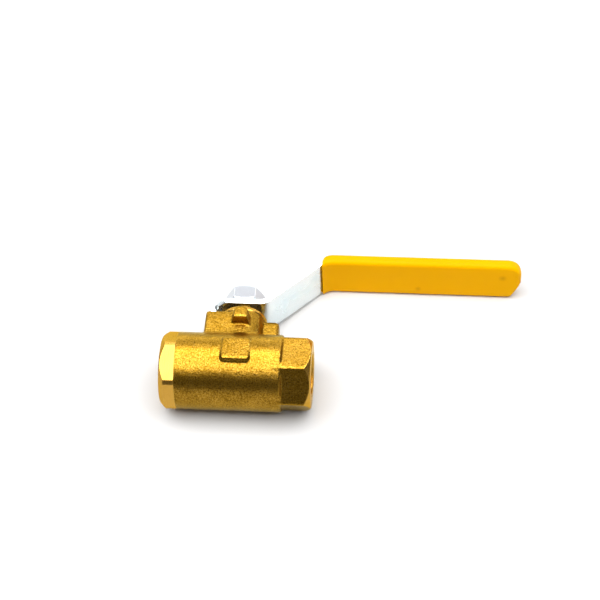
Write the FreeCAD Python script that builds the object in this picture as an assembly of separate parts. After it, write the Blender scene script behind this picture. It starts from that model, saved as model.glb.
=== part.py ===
import FreeCAD, Part
import math
import os
from FreeCAD import Vector as V

# Quarter-inch gas ball valve with a lever handle: a two-piece brass body with a
# female pipe thread in each end, a floating ball between two seats, a blowout-proof
# stem with O-rings and a gland, and a cranked steel lever with a vinyl sleeve.
#
# Everything is built in the valve's working frame: X along the flow way, Z along the
# stem from the ball to the handle nut, -Y towards the square pad on the barrel.
# The whole valve is then turned about X so that it lies on its back on a table:
# the barrel and the edge of the grip touch the table, +Z is up, +X is still the flow
# way, and the stem points along +Y, a few degrees downwards. Last, it is slid along
# X so that the origin is the centre of the inlet face; the ball's centre is then half
# the valve's length along +X. All lengths are in millimetres.

# ---------------------------------------------------------------- driving dimensions
LENGTH = 45.0            # face to face
X_IN = -LENGTH / 2       # inlet face (end cap)
X_OUT = LENGTH / 2       # outlet face (body hexagon)
X_CAP = -17.8            # joint between end cap and body
X_HEX = 13.8             # shoulder between barrel and outlet hexagon
R_BARREL = 11.6
HEX_OUT_AF = 20.4        # outlet hexagon across flats
HEX_CAP_AF = 21.0        # end cap hexagon across flats
R_CAP = 11.7             # turned outside of the end cap, which cuts the hexagon's corners
CAP_TURN = 28.0          # how far a cap flat is turned from the pad, in degrees
END_FACE_R = 9.95        # radius where the outlet's 45 degree end chamfer starts
CAP_FACE_R = 10.2        # the same on the end cap

R_THREAD = 5.72          # minor radius of the 1/4 inch parallel pipe thread
THREAD_LEN = 10.2
MOUTH_CH = 0.8           # countersink at each mouth
R_WAY = 4.25             # flow way

R_SPIGOT = 9.6           # end cap's threaded spigot
X_SPIGOT = -10.5         # its front end
R_CAV = 8.15             # ball chamber
X_CAV = 7.6              # seats sit at -X_CAV and +X_CAV
X_STEP = -9.6            # step in the body that the cap seal sits on

R_BALL = 7.5
SEAT_X0 = 4.6            # seats run from SEAT_X0 to X_CAV
SEAT_R = 4.5
GAP = 0.05               # running clearance

R_NECK = 7.4
Z_NECK = 20.2
R_STEM = 3.5
R_LAND = 3.55            # body land round the stem
R_COLLAR = 4.2
Z_COLLAR0, Z_COLLAR1 = 7.8, 9.3
Z_LAND0, Z_LAND1 = 9.8, 13.2
R_GLAND = 5.0
Z_PACK1 = 16.4           # top of packing, underside of gland
Z_GLAND1 = 19.8
R_TOP = 3.17             # quarter-inch threaded end of the stem
TOP_FLAT = 2.35          # half width over the stem's flats
Z_SHOULDER = 21.95       # stem shoulder that carries the lever
Z_TOP = 30.6
SLOT_W, BLADE_W = 2.6, 2.5
SLOT_Z, BLADE_Z = 5.5, 5.6
BLADE_L = 6.2

PAD_X, PAD_Z, PAD_Y, PAD_R = 8.2, 7.9, 12.0, 1.2
PAD_CX, PAD_CZ = 0.1, -0.3
PAD_DRAFT = 0.38         # slope of the pad's four sides
POST_X, POST_W, POST_Y, POST_Z0, POST_Z1 = 0.15, 4.2, 10.6, 13.0, 17.5
POST_ROOT_W = 5.4        # the post is wider where it leaves the neck
NECK_CH = 0.4            # turned chamfer round the top of the neck
LUG_Z = 18.0             # height of the handle stops
LUG_X = 10.85            # left stop reaches this far out
LUG_FRONT = 7.2          # front face of the open stop
LUG_Y = 9.6              # rear stop, kept clear of the table that the valve lies on
TAB_HALF = 2.3           # half width of the lever's stop tab
TAB_Z0 = 15.9

LEVER_T = 2.0
LEVER_W = 12.8
X_BEND1 = 7.0            # where the underside's two faces would meet at the lower bend
LEVER_RISE = 18.35
LEVER_ANGLE = 46.0
BEND_RI = 2.5            # inside radius of the bend next to the hub
BEND_RI2 = 5.0           # and of the upper bend
X_TIP = 84.4             # end of the steel bar
GRIP_WALL = 0.95
GRIP_W = 14.2
X_GRIP_END = 85.2
X_SLEEVE = 23.2          # where the sleeve starts, cut square to the grip
TIP_R1 = 4.6             # corner radius of the grip's end on the pad side
TIP_DX, TIP_Y = 3.1, 1.0  # the table side of the end is cut off at a slant: its length, and where it starts
GRIP_EDGE = 1.1          # rounding of the sleeve's long edges
X_PLATE = -10.4          # outer face of the stop tab
PLATE_TAPER_X = -5.7     # where the hub plate starts to narrow

WASHER_T = 0.9
NUT_AF = 11.1
NUT_H = 5.1


# ---------------------------------------------------------------- helpers
def cyl_x(r, x0, x1):
    return Part.makeCylinder(r, x1 - x0, V(x0, 0, 0), V(1, 0, 0))


def cyl_z(r, z0, z1, x=0, y=0):
    return Part.makeCylinder(r, z1 - z0, V(x, y, z0), V(0, 0, 1))


def box(x0, x1, y0, y1, z0, z1):
    return Part.makeBox(x1 - x0, y1 - y0, z1 - z0, V(x0, y0, z0))


def revolve_x(pts):
    """Turn a closed outline of (x, r) points about the flow axis."""
    w = Part.makePolygon([V(x, 0, r) for x, r in pts] + [V(pts[0][0], 0, pts[0][1])])
    return Part.Face(w).revolve(V(0, 0, 0), V(1, 0, 0), 360)


def revolve_z(pts):
    """Turn a closed outline of (r, z) points about the stem axis."""
    w = Part.makePolygon([V(r, 0, z) for r, z in pts] + [V(pts[0][0], 0, pts[0][1])])
    return Part.Face(w).revolve(V(0, 0, 0), V(0, 0, 1), 360)


def hex_x(af, x0, x1, turn):
    """Hexagonal bar along X. A flat faces the direction 'turn' degrees from -Y towards -Z."""
    r = af / math.sqrt(3)
    pts = []
    for k in range(7):
        a = math.radians(turn + 30 + 60 * k)
        pts.append(V(x0, -r * math.cos(a), -r * math.sin(a)))
    return Part.Face(Part.makePolygon(pts)).extrude(V(x1 - x0, 0, 0))


def hex_z(af, z0, z1, turn=0.0):
    """Hexagonal bar along Z with a flat facing -Y when turn is 0."""
    r = af / math.sqrt(3)
    pts = []
    for k in range(7):
        a = math.radians(turn + 60 * k)
        pts.append(V(r * math.cos(a), r * math.sin(a), z0))
    return Part.Face(Part.makePolygon(pts)).extrude(V(0, 0, z1 - z0))


def torus_x(r, minor, x):
    return Part.makeTorus(r, minor, V(x, 0, 0), V(1, 0, 0))


def torus_z(r, minor, z):
    return Part.makeTorus(r, minor, V(0, 0, z), V(0, 0, 1))


def try_fillet(shape, radius, pick, what):
    """Round the edges that pick accepts, smaller if the full radius can't be made."""
    edges = [e for e in shape.Edges if pick(e)]
    for r in (radius, radius * 0.7, radius * 0.45):
        try:
            out = shape.makeFillet(r, edges)
            if out.isValid() and len(out.Solids) == 1 and out.Volume > 0:
                return out
        except Exception:
            pass
    print("fillet left off:", what, len(edges))
    return shape


def one(shape, name):
    s = shape.removeSplitter()
    if len(s.Solids) != 1:
        print("WARNING", name, "has", len(s.Solids), "solids")
    return s.Solids[0] if len(s.Solids) == 1 else s


# ---------------------------------------------------------------- valve body
barrel = cyl_x(R_BARREL, X_CAP, X_HEX)
barrel = try_fillet(barrel, 0.8, lambda e: abs(e.BoundBox.XMin - X_HEX) < 1e-6 and abs(e.BoundBox.XMax - X_HEX) < 1e-6, "barrel end")
outlet = hex_x(HEX_OUT_AF, X_HEX - 3.0, X_OUT, 0.0)
cone = revolve_x([(X_HEX - 4.0, 0), (X_HEX - 4.0, 14.0),
                  (X_OUT - (14.0 - END_FACE_R), 14.0), (X_OUT, END_FACE_R), (X_OUT, 0)])
outlet = outlet.common(cone)

neck = cyl_z(R_NECK, 0, Z_NECK)
outer = barrel.fuse(neck).removeSplitter()


def neck_root(e):
    """The closed curve where the neck runs into the barrel."""
    m = e.valueAt((e.FirstParameter + e.LastParameter) / 2)
    return (abs(math.hypot(m.y, m.z) - R_BARREL) < 1e-3 and abs(math.hypot(m.x, m.y) - R_NECK) < 1e-3 and m.z > 0)


outer = try_fillet(outer, 1.0, neck_root, "neck root")
rim_cone = revolve_z([(R_NECK - NECK_CH, Z_NECK), (R_NECK + 1.0, Z_NECK - NECK_CH - 1.0), (R_NECK + 1.0, Z_NECK + 1.0),
                      (R_NECK - NECK_CH, Z_NECK + 1.0)])
outer = outer.cut(rim_cone)
outer = outer.fuse(outlet)

# open stop: its rear wall, facing +Y, meets the lever's tab when the valve is open
open_stop = box(-LUG_X, -1.0, -LUG_FRONT, -(TAB_HALF + 0.3), 0.0, LUG_Z)
# closed stop: behind the neck, its wall facing -X meets the tab a quarter turn later
closed_stop = box(TAB_HALF + 0.3, R_NECK, 1.0, LUG_Y, 0.0, LUG_Z)
side_lug = box(1.0, 11.4, -3.0, 3.6, 0.0, LUG_Z - 0.1)
post = Part.Face(Part.makePolygon([
    V(POST_X - POST_W / 2, -POST_Y, POST_Z0), V(POST_X + POST_W / 2, -POST_Y, POST_Z0),
    V(POST_X + POST_ROOT_W / 2, -R_NECK + 0.6, POST_Z0), V(POST_X + POST_ROOT_W / 2, -1.0, POST_Z0),
    V(POST_X - POST_ROOT_W / 2, -1.0, POST_Z0), V(POST_X - POST_ROOT_W / 2, -R_NECK + 0.6, POST_Z0),
    V(POST_X - POST_W / 2, -POST_Y, POST_Z0)])).extrude(V(0, 0, POST_Z1 - POST_Z0))


def upright(e, x=None, y=None):
    """True for an edge along Z at the given place."""
    b = e.BoundBox
    if b.ZMax - b.ZMin < 1.0 or b.XMax - b.XMin > 1e-6 or b.YMax - b.YMin > 1e-6:
        return False
    return (x is None or abs(b.XMin - x) < 1e-6) and (y is None or abs(b.YMin - y) < 1e-6)


def flat_top(e, z):
    b = e.BoundBox
    return abs(b.ZMin - z) < 1e-6 and abs(b.ZMax - z) < 1e-6


open_stop = try_fillet(open_stop, 0.9, lambda e: upright(e, x=-LUG_X), "open stop corner")
open_stop = try_fillet(open_stop, 0.45, lambda e: flat_top(e, LUG_Z), "open stop top")
closed_stop = try_fillet(closed_stop, 0.9, lambda e: upright(e, y=LUG_Y), "closed stop corner")
closed_stop = try_fillet(closed_stop, 0.45, lambda e: flat_top(e, LUG_Z), "closed stop top")
side_lug = try_fillet(side_lug, 1.1, lambda e: upright(e, x=11.4), "side lug corner")
side_lug = try_fillet(side_lug, 0.8, lambda e: flat_top(e, LUG_Z - 0.1), "side lug top")


def along_y(e, z):
    b = e.BoundBox
    return b.YMax - b.YMin > 1.0 and b.YMin < -R_NECK and abs(b.ZMin - z) < 1e-6 and abs(b.ZMax - z) < 1e-6


post = try_fillet(post, 1.7, lambda e: along_y(e, POST_Z1), "post top")
post = try_fillet(post, 0.35, lambda e: abs(e.BoundBox.YMin + POST_Y) < 1e-6 and abs(e.BoundBox.YMax + POST_Y) < 1e-6, "post front")



def pad_wire(y, grow):
    x0, x1 = PAD_CX - PAD_X / 2 - grow, PAD_CX + PAD_X / 2 + grow
    z0, z1 = PAD_CZ - PAD_Z / 2 - grow, PAD_CZ + PAD_Z / 2 + grow
    return Part.makePolygon([V(x0, y, z0), V(x1, y, z0), V(x1, y, z1), V(x0, y, z1), V(x0, y, z0)])


pad = Part.makeLoft([pad_wire(-PAD_Y, 0.0), pad_wire(-PAD_Y + 2.8, PAD_DRAFT * 2.8)], True, True)
pad = try_fillet(pad, PAD_R, lambda e: e.BoundBox.YMax - e.BoundBox.YMin > 1.0, "pad corner")
pad = try_fillet(pad, 0.3, lambda e: abs(e.BoundBox.YMin + PAD_Y) < 1e-6 and abs(e.BoundBox.YMax + PAD_Y) < 1e-6, "pad edge")

for piece in (open_stop, closed_stop, side_lug, post, pad):
    outer = outer.fuse(piece)
outer = outer.removeSplitter()


bore = revolve_x([(X_CAP - 1.0, 0), (X_CAP - 1.0, R_SPIGOT), (X_STEP, R_SPIGOT), (X_STEP, R_CAV),
                  (X_CAV, R_CAV), (X_CAV, R_WAY + 0.55), (X_CAV + 1.6, R_WAY + 0.55),
                  (X_CAV + 1.6, R_WAY), (X_OUT - THREAD_LEN, R_WAY),
                  (X_OUT - THREAD_LEN, R_THREAD), (X_OUT - MOUTH_CH, R_THREAD),
                  (X_OUT, R_THREAD + MOUTH_CH), (X_OUT + 1.0, R_THREAD + MOUTH_CH + 1.0), (X_OUT + 1.0, 0)])
stem_hole = revolve_z([(0, 5.0), (R_COLLAR + 0.1, 5.0), (R_COLLAR + 0.1, Z_LAND0), (R_LAND, Z_LAND0),
                       (R_LAND, Z_LAND1), (R_GLAND, Z_LAND1), (R_GLAND, Z_NECK - 0.3),
                       (R_GLAND + 0.5, Z_NECK + 0.2), (0, Z_NECK + 0.2)])
valve_body = one(outer.cut(bore).cut(stem_hole), "valve_body")

# ---------------------------------------------------------------- end cap
cap = hex_x(HEX_CAP_AF, X_IN, X_CAP, CAP_TURN)
cap = cap.common(revolve_x([(X_IN, 0), (X_IN, CAP_FACE_R), (X_IN + (R_CAP - CAP_FACE_R), R_CAP),
                            (X_CAP - 0.35, R_CAP), (X_CAP, R_CAP - 0.35), (X_CAP, 0)]))
spigot = revolve_x([(X_CAP - 0.5, 0), (X_CAP - 0.5, 9.2), (X_CAP + 1.4, 9.2), (X_CAP + 1.8, R_SPIGOT - 0.02),
                    (X_SPIGOT - 0.5, R_SPIGOT - 0.02), (X_SPIGOT, R_SPIGOT - 0.5), (X_SPIGOT, R_CAV - 0.05),
                    (-X_CAV, R_CAV - 0.05), (-X_CAV, 0)])
cap_bore = revolve_x([(X_IN - 1.0, 0), (X_IN - 1.0, R_THREAD + MOUTH_CH + 1.0), (X_IN, R_THREAD + MOUTH_CH),
                      (X_IN + MOUTH_CH, R_THREAD), (X_IN + THREAD_LEN, R_THREAD), (X_IN + THREAD_LEN, R_WAY),
                      (-X_CAV - 1.6, R_WAY), (-X_CAV - 1.6, R_WAY + 0.55), (-X_CAV + 1.0, R_WAY + 0.55), (-X_CAV + 1.0, 0)])
end_cap = one(cap.fuse(spigot).cut(cap_bore), "end_cap")

# ring of sealing fibre between the cap's spigot and the step in the body
end_cap_seal = cyl_x(R_SPIGOT - 0.08, X_SPIGOT + 0.02, X_STEP - 0.02).cut(cyl_x(R_CAV + 0.02, X_SPIGOT - 1, X_STEP + 1))

# ---------------------------------------------------------------- ball and seats
ball = Part.makeSphere(R_BALL)
ball = ball.cut(cyl_x(R_WAY, -10, 10))
ball = ball.cut(box(-SLOT_W / 2, SLOT_W / 2, -10, 10, SLOT_Z, 10))
ball = one(ball, "ball")


def seat(sign):
    """Seat ring with a spherical face for the ball and an O-ring step at its back."""
    s = revolve_x([(sign * SEAT_X0, SEAT_R), (sign * SEAT_X0, R_CAV - 0.7), (sign * (SEAT_X0 + 0.5), R_CAV - 0.02),
                   (sign * (X_CAV - 0.02), R_CAV - 0.02), (sign * (X_CAV - 0.02), SEAT_R)])
    return one(s.cut(Part.makeSphere(R_BALL + GAP)), "seat")


inlet_seat = seat(-1)
outlet_seat = seat(1)


def backing_ring(sign):
    """Rubber ring of square section in the pocket behind a seat, flush with the flow way."""
    x0, x1 = sorted((sign * (X_CAV + 0.02), sign * (X_CAV + 1.58)))
    return cyl_x(R_WAY + 0.53, x0, x1).cut(cyl_x(R_WAY, x0 - 1, x1 + 1))


inlet_seat_ring = backing_ring(-1)
outlet_seat_ring = backing_ring(1)

# ---------------------------------------------------------------- stem group
GROOVE1, GROOVE2 = 10.75, 12.25
stem = revolve_z([(0, Z_COLLAR0), (R_COLLAR - 0.4, Z_COLLAR0), (R_COLLAR, Z_COLLAR0 + 0.4), (R_COLLAR, Z_COLLAR1),
                  (R_STEM, Z_COLLAR1), (R_STEM, GROOVE1 - 0.5), (2.6, GROOVE1 - 0.5), (2.6, GROOVE1 + 0.5),
                  (R_STEM, GROOVE1 + 0.5), (R_STEM, GROOVE2 - 0.5), (2.6, GROOVE2 - 0.5), (2.6, GROOVE2 + 0.5),
                  (R_STEM, GROOVE2 + 0.5), (R_STEM, Z_SHOULDER), (0, Z_SHOULDER)])
blade = box(-BLADE_W / 2, BLADE_W / 2, -BLADE_L / 2, BLADE_L / 2, BLADE_Z, Z_COLLAR0 + 0.2)
top = revolve_z([(0, Z_SHOULDER - 0.2), (R_TOP, Z_SHOULDER - 0.2), (R_TOP, Z_TOP - 0.6), (R_TOP - 0.6, Z_TOP), (0, Z_TOP)])
top = top.common(box(-4, 4, -TOP_FLAT, TOP_FLAT, Z_SHOULDER - 0.2, Z_TOP + 1))
stem = one(stem.fuse(blade).fuse(top), "stem")

stem_thrust_washer = cyl_z(R_COLLAR + 0.05, Z_COLLAR1 + GAP, Z_LAND0 - 0.01).cut(cyl_z(R_STEM + 0.06, 0, 20))
stem_o_ring_lower = torus_z(3.05, 0.44, GROOVE1)
stem_o_ring_upper = torus_z(3.05, 0.44, GROOVE2)
stem_packing = cyl_z(R_GLAND - 0.02, Z_LAND1 + 0.02, Z_PACK1).cut(cyl_z(R_STEM + GAP, 0, 30))
gland = cyl_z(R_GLAND - 0.02, Z_PACK1 + 0.02, Z_GLAND1).cut(cyl_z(R_STEM + 0.15, 0, 30))
gland = gland.cut(box(-6, 6, -0.8, 0.8, Z_GLAND1 - 1.2, Z_GLAND1 + 1))
gland = gland.cut(cyl_z(R_STEM + 0.6, Z_GLAND1 - 0.4, Z_GLAND1 + 1))
gland_nut = one(gland, "gland_nut")

# ---------------------------------------------------------------- lever
ang = math.radians(LEVER_ANGLE)
X_BEND2 = X_BEND1 + LEVER_RISE / math.tan(ang)
Z_BAR = Z_SHOULDER + LEVER_RISE


def offset_outline(x0, x1, grow, back=None):
    """Side outline of the cranked bar in the XZ plane, grown on both faces.
    It starts on the flat hub at x0, or, with back, on the slope at that x, cut
    square, and ends at x1."""
    h = math.tan(ang / 2)
    lo, hi = -grow, LEVER_T + grow
    start_lo, start_hi = [], []
    if back is None:
        start_lo = [V(x0, 0, Z_SHOULDER + lo), V(X_BEND1 - lo * h, 0, Z_SHOULDER + lo)]
        start_hi = [V(x0, 0, Z_SHOULDER + hi), V(X_BEND1 - hi * h, 0, Z_SHOULDER + hi)]
    else:
        for off, start in ((lo, start_lo), (hi, start_hi)):
            run = X_BEND2 - off * h - back
            start.append(V(back, 0, Z_BAR + off - run * math.tan(ang)))
    low = start_lo + [V(X_BEND2 - lo * h, 0, Z_BAR + lo), V(x1, 0, Z_BAR + lo)]
    high = start_hi + [V(X_BEND2 - hi * h, 0, Z_BAR + hi), V(x1, 0, Z_BAR + hi)]
    return low, high


def crank(x0, x1, width, grow, back=None):
    """Extruded bar with its bends rounded on both faces."""
    low, high = offset_outline(x0, x1, grow, back)
    w = Part.makePolygon(low + high[::-1] + [low[0]])
    s = Part.Face(w).extrude(V(0, width, 0))
    s.translate(V(0, -width / 2, 0))

    def near(e, p):
        b = e.BoundBox
        return (b.YMax - b.YMin > 1.0 and abs(b.XMin - p.x) < 1e-6 and abs(b.ZMin - p.z) < 1e-6
                and b.XMax - b.XMin < 1e-6)
    ri, ro = max(BEND_RI - grow, 0.5), BEND_RI + LEVER_T + grow
    ri2, ro2 = BEND_RI2 - grow, BEND_RI2 + LEVER_T + grow
    if back is None:
        s = try_fillet(s, ro, lambda e: near(e, low[1]), "lower bend outside")
        s = try_fillet(s, ri, lambda e: near(e, high[1]), "lower bend inside")
        s = try_fillet(s, ri2, lambda e: near(e, low[2]), "upper bend inside")
        s = try_fillet(s, ro2, lambda e: near(e, high[2]), "upper bend outside")
    else:
        s = try_fillet(s, ri2, lambda e: near(e, low[1]), "sleeve bend inside")
        s = try_fillet(s, min(ro2, 1.6), lambda e: near(e, high[1]), "sleeve bend outside")
    return s


bar = crank(X_PLATE, X_TIP, LEVER_W, 0.0)
# the hub plate narrows to the stop tab, and the far end has rounded corners
hw, big = LEVER_W / 2, 60.0
slant_x = X_TIP - TIP_DX + 0.26
plan = Part.Face(Part.makePolygon([V(X_PLATE, -TAB_HALF, 0), V(PLATE_TAPER_X, -hw, 0), V(X_TIP, -hw, 0),
                                   V(X_TIP, TIP_Y - 0.2, 0), V(slant_x, hw, 0), V(PLATE_TAPER_X, hw, 0), V(X_PLATE, TAB_HALF, 0),
                                   V(X_PLATE, -TAB_HALF, 0)])).extrude(V(0, 0, big))
plan = try_fillet(plan, TIP_R1 - 0.9, lambda e: upright(e, x=X_TIP, y=-hw), "bar end")
plan = try_fillet(plan, 1.2, lambda e: upright(e, x=X_TIP, y=TIP_Y - 0.2) or upright(e, x=slant_x, y=hw), "bar end slant")
plan = try_fillet(plan, 2.0, lambda e: upright(e, x=PLATE_TAPER_X), "hub corner")
bar = bar.common(plan)
tab = box(X_PLATE, X_PLATE + LEVER_T, -TAB_HALF, TAB_HALF, TAB_Z0, Z_SHOULDER + LEVER_T)
lever = bar.fuse(tab).removeSplitter()


def tab_bend(e):
    b = e.BoundBox
    return (abs(b.XMin - X_PLATE) < 1e-6 and abs(b.XMax - X_PLATE) < 1e-6
            and abs(b.ZMin - (Z_SHOULDER + LEVER_T)) < 1e-6 and b.YMax - b.YMin > 1.0)


lever = try_fillet(lever, 2.4, tab_bend, "tab bend")
lever = try_fillet(lever, 0.8, lambda e: abs(e.BoundBox.ZMin - TAB_Z0) < 1e-6 and abs(e.BoundBox.ZMax - TAB_Z0) < 1e-6
                   and e.BoundBox.XMax - e.BoundBox.XMin > 1.0, "tab tip")
d_hole = cyl_z(R_TOP + 0.04, Z_SHOULDER - 1, Z_SHOULDER + LEVER_T + 1).common(
    box(-4, 4, -TOP_FLAT - 0.04, TOP_FLAT + 0.04, Z_SHOULDER - 2, Z_SHOULDER + LEVER_T + 2))
handle_lever = one(lever.cut(d_hole), "handle_lever")

# ---------------------------------------------------------------- grip sleeve
sleeve = crank(0, X_GRIP_END, GRIP_W, GRIP_WALL, back=X_SLEEVE)
plan2 = Part.Face(Part.makePolygon([V(0, -GRIP_W / 2, 0), V(X_GRIP_END, -GRIP_W / 2, 0), V(X_GRIP_END, TIP_Y, 0),
                                    V(X_GRIP_END - TIP_DX, GRIP_W / 2, 0),
                                    V(0, GRIP_W / 2, 0), V(0, -GRIP_W / 2, 0)])).extrude(V(0, 0, big))
plan2 = try_fillet(plan2, TIP_R1, lambda e: upright(e, x=X_GRIP_END, y=-GRIP_W / 2), "sleeve end")
plan2 = try_fillet(plan2, 1.6, lambda e: upright(e, x=X_GRIP_END, y=TIP_Y) or upright(e, x=X_GRIP_END - TIP_DX, y=GRIP_W / 2),
                   "sleeve end slant")
sleeve = sleeve.common(plan2).removeSplitter()
zc = Z_BAR + LEVER_T / 2


def long_edge(e):
    """The outline edges of the sleeve's upper and lower faces."""
    b = e.BoundBox
    up = abs(b.ZMin - (Z_BAR + LEVER_T + GRIP_WALL)) < 1e-6 and abs(b.ZMax - b.ZMin) < 1e-6
    dn = abs(b.ZMin - (Z_BAR - GRIP_WALL)) < 1e-6 and abs(b.ZMax - b.ZMin) < 1e-6
    return (up or dn) and b.XMax > X_BEND2 + 6.0


sleeve = try_fillet(sleeve, GRIP_EDGE, long_edge, "sleeve edges")
grip_sleeve = one(sleeve.cut(bar), "grip_sleeve")

# ---------------------------------------------------------------- washer and nut
Z_W = Z_SHOULDER + LEVER_T
spring_washer = cyl_z(4.9, Z_W, Z_W + WASHER_T).cut(cyl_z(R_TOP + 0.05, Z_W - 1, Z_W + 2))
spring_washer = one(spring_washer.cut(box(0, 6, -0.35, 0.35, Z_W - 1, Z_W + 2)), "spring_washer")
Z_N = Z_W + WASHER_T
nut = hex_z(NUT_AF, Z_N, Z_N + NUT_H)
nut_r = NUT_AF / math.sqrt(3)
nut_cone = revolve_z([(0, Z_N), (NUT_AF / 2 - 0.1, Z_N), (NUT_AF / 2 - 0.1 + 1.2, Z_N + 0.7),
                      (NUT_AF / 2 - 0.1 + 1.2, Z_N + NUT_H - 0.7), (NUT_AF / 2 - 0.1, Z_N + NUT_H), (0, Z_N + NUT_H)])
handle_nut = one(nut.common(nut_cone).cut(cyl_z(R_TOP, Z_N - 1, Z_N + NUT_H + 1)), "handle_nut")

# ---------------------------------------------------------------- lie it down and write it out
# The tilt puts the long edge of the grip on the same plane as the bottom of the barrel.
z_hi = Z_BAR + LEVER_T + GRIP_WALL
lo_b, hi_b = 0.0, math.radians(20)
for _ in range(60):
    mid = (lo_b + hi_b) / 2
    reach = (GRIP_W / 2 - GRIP_EDGE) * math.cos(mid) + (z_hi - GRIP_EDGE) * math.sin(mid) + GRIP_EDGE
    if reach > R_BARREL + 0.03:
        hi_b = mid
    else:
        lo_b = mid
TILT = math.degrees(lo_b)
TURN = -(90.0 + TILT)
print("tilt", round(TILT, 3), "stem axis", 0.0, round(math.cos(lo_b), 6), round(-math.sin(lo_b), 6))

PARTS = {
    "valve_body": valve_body,
    "end_cap": end_cap,
    "end_cap_seal": end_cap_seal,
    "ball": ball,
    "inlet_seat": inlet_seat,
    "outlet_seat": outlet_seat,
    "inlet_seat_ring": inlet_seat_ring,
    "outlet_seat_ring": outlet_seat_ring,
    "stem": stem,
    "stem_thrust_washer": stem_thrust_washer,
    "stem_o_ring_lower": stem_o_ring_lower,
    "stem_o_ring_upper": stem_o_ring_upper,
    "stem_packing": stem_packing,
    "gland_nut": gland_nut,
    "handle_lever": handle_lever,
    "grip_sleeve": grip_sleeve,
    "spring_washer": spring_washer,
    "handle_nut": handle_nut,
}

os.makedirs("parts", exist_ok=True)
for name, shape in PARTS.items():
    s = shape.copy()
    s.rotate(V(0, 0, 0), V(1, 0, 0), TURN)
    s.translate(V(-X_IN, 0, 0))
    b = s.BoundBox
    print("%-20s valid %s solids %d vol %9.2f  x %.2f..%.2f y %.2f..%.2f z %.2f..%.2f" % (
        name, s.isValid(), len(s.Solids), s.Volume, b.XMin, b.XMax, b.YMin, b.YMax, b.ZMin, b.ZMax))
    s.exportStep("parts/" + name + ".step")
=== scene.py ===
import math
import bpy
import numpy as np
from mathutils import Matrix, Vector


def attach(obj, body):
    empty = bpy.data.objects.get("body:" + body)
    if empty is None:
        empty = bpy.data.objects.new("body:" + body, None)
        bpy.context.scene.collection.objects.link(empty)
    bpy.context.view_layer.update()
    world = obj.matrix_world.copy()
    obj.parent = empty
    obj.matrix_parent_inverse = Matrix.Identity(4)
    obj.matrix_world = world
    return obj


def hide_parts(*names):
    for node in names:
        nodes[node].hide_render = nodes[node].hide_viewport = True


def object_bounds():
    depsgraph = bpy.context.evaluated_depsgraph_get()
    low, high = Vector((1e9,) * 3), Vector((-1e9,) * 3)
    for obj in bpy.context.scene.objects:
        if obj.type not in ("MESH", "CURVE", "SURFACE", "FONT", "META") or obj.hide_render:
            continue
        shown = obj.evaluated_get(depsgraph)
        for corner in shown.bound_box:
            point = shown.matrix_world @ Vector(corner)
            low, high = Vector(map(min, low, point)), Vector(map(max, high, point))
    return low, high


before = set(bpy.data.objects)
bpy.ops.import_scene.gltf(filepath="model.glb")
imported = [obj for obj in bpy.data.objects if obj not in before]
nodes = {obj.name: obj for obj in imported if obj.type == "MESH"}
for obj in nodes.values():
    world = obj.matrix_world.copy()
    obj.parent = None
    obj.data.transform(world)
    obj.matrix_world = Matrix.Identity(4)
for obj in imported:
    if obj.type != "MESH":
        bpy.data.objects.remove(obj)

cad_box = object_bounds()

# ------------------------------------------------------------------ the valve's working frame
# x along the flow way from the ball's centre, y away from the pad, z along the stem, in mm.
TILT = math.radians(6.218)
XO = 22.5
SB, CB = math.sin(TILT), math.cos(TILT)
TO_ROW = np.array([[1, 0, 0], [0, -SB, CB], [0, -CB, -SB]], float)


def to_row(p):
    p = np.asarray(p, float).reshape(-1, 3)
    return (p @ TO_ROW.T + np.array([XO, 0, 0])) * 0.001


def from_row(p):
    return ((np.asarray(p, float).reshape(-1, 3) * 1000.0) - np.array([XO, 0, 0])) @ TO_ROW


LENGTH = 45.0
X_IN, X_OUT = -22.5, 22.5
X_CAP, X_HEX = -17.8, 13.8
R_BARREL = 11.6
R_CAP = 11.7
END_FACE_R = 9.95
CAP_FACE_R = 10.2
R_MINOR, PITCH, DEPTH = 5.72, 1.337, 0.84
R_NECK, Z_NECK = 7.4, 20.2
Z_SHOULDER, LEVER_T = 21.95, 2.0
X_PLATE, X_BEND1, RISE, ANG = -10.4, 7.0, 18.35, math.radians(46.0)
X_BEND2 = X_BEND1 + RISE / math.tan(ANG)
Z_BAR = Z_SHOULDER + RISE
X_TIP, X_GRIP_END = 84.4, 85.2
Z_NUT = Z_SHOULDER + LEVER_T + 0.9
NUT_H, NUT_AF = 5.1, 11.1

# ------------------------------------------------------------------ mesh helpers


def smin(a, b, k):
    h = np.maximum(k - np.abs(a - b), 0.0) / k
    return np.minimum(a, b) - h * h * k * 0.25


def smax(a, b, k):
    return -smin(-np.asarray(a), -np.asarray(b), k)


def make_object(name, verts_mm, faces, body, mat, smooth=True):
    me = bpy.data.meshes.new(name)
    v = to_row(verts_mm)
    me.from_pydata(v.tolist(), [], faces)
    me.validate()
    me.update()
    # faces look outwards
    vol = 0.0
    for p in me.polygons:
        vs = [me.vertices[i].co for i in p.vertices]
        for i in range(1, len(vs) - 1):
            vol += vs[0].dot(vs[i].cross(vs[i + 1]))
    if vol < 0:
        me.flip_normals()
    me.polygons.foreach_set("use_smooth", [smooth] * len(me.polygons))
    o = bpy.data.objects.new(name, me)
    bpy.context.scene.collection.objects.link(o)
    o.data.materials.append(mat)
    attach(o, body)
    return o


def grid_faces(nu, nv, wrap_u, wrap_v, base=0):
    faces = []
    for i in range(nu if wrap_u else nu - 1):
        a = i * nv
        b = ((i + 1) % nu) * nv
        for j in range(nv if wrap_v else nv - 1):
            k = (j + 1) % nv
            faces.append((base + a + j, base + b + j, base + b + k, base + a + k))
    return faces


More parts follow.
